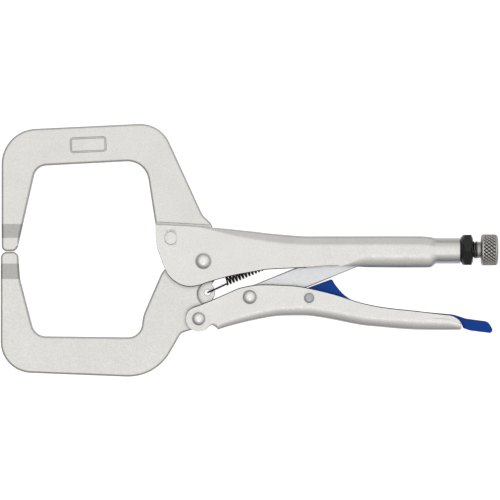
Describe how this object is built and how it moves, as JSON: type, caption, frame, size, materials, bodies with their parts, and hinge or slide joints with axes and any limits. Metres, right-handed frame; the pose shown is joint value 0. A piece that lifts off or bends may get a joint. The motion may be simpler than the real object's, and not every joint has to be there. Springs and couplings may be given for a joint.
{
  "type": "locking pliers",
  "caption": "C-clamp locking pliers: two C-shaped jaws, sheet-steel handles with an over-centre toggle link, release lever and knurled adjusting screw.",
  "frame": {"origin": "middle of the box around the pliers, at the height of what they lie on", "axes": "+X from the jaws to the adjusting knob, +Y from the moving jaw to the fixed jaw, +Z along the pivot rivets, up from the surface the pliers lie on"},
  "size_m": [0.28, 0.1422, 0.0196],
  "materials": {
    "nickel_jaw": "bead-blasted satin nickel plate on forged steel",
    "nickel_sheet": "bead-blasted satin nickel plate on pressed steel sheet",
    "nickel_link": "satin nickel plate, slightly cooler",
    "polished_rivet": "polished domed rivet head",
    "knurled_steel": "turned and knurled, nickel-grey",
    "black_nut": "black oxide, semi-gloss",
    "black_spring": "black oxide spring wire",
    "blue_lever": "blue semi-matt coating"
  },
  "bodies": {
    "upper_body": {"upper_handle": "nickel_sheet", "fixed_jaw": "nickel_jaw", "jaw_flush_rivet": "nickel_sheet", "main_pivot_rivet": "polished_rivet", "extension_spring": "black_spring"},
    "jaw_body": {"moving_jaw": "nickel_jaw"},
    "lower_handle_body": {"lower_handle": "nickel_sheet", "jaw_handle_rivet": "polished_rivet", "toggle_rivet": "polished_rivet", "lever_rivet": "polished_rivet"},
    "link_body": {"toggle_link": "nickel_link"},
    "lever_body": {"release_lever": "blue_lever"},
    "nut_body": {"lock_nut": "black_nut"},
    "screw_body": {"adjusting_screw": "knurled_steel"}
  },
  "joints": [
    {"name": "jaw_pivot", "type": "hinge", "parent": "upper_body", "child": "jaw_body", "pos_m": [-0.0259, -0.00608, 0.00982], "axis": [0, 0, 1], "range_deg": [0, 28], "deforming": ["extension_spring"]},
    {"name": "handle_pivot", "type": "hinge", "parent": "jaw_body", "child": "lower_handle_body", "pos_m": [-0.0285, -0.03848, 0.00982], "axis": [0, 0, 1], "range_deg": [-76.3, 0]},
    {"name": "link_pivot", "type": "hinge", "parent": "lower_handle_body", "child": "link_body", "pos_m": [0.0002, -0.02628, 0.00982], "axis": [0, 0, 1], "range_deg": [0, 70.7]},
    {"name": "release_pivot", "type": "hinge", "parent": "lower_handle_body", "child": "lever_body", "pos_m": [0.0336, -0.02678, 0.00982], "axis": [0, 0, 1], "range_deg": [0, 2.4]},
    {"name": "knob_turn", "type": "hinge", "parent": "upper_body", "child": "nut_body", "pos_m": [0.1241, 0.00022, 0.00982], "axis": [1, 0, 0], "range_deg": [0, 6720]},
    {"name": "screw_feed", "type": "slide", "parent": "nut_body", "child": "screw_body", "axis": [1, 0, 0], "range_m": [0, 0.028]}
  ],
  "couplings": [
    {"joint": "handle_pivot", "follows": "jaw_pivot", "ratio": -2.7233},
    {"joint": "link_pivot", "follows": "jaw_pivot", "ratio": 2.523},
    {"joint": "knob_turn", "follows": "screw_feed", "rad_per_m": 4188.8}
  ]
}
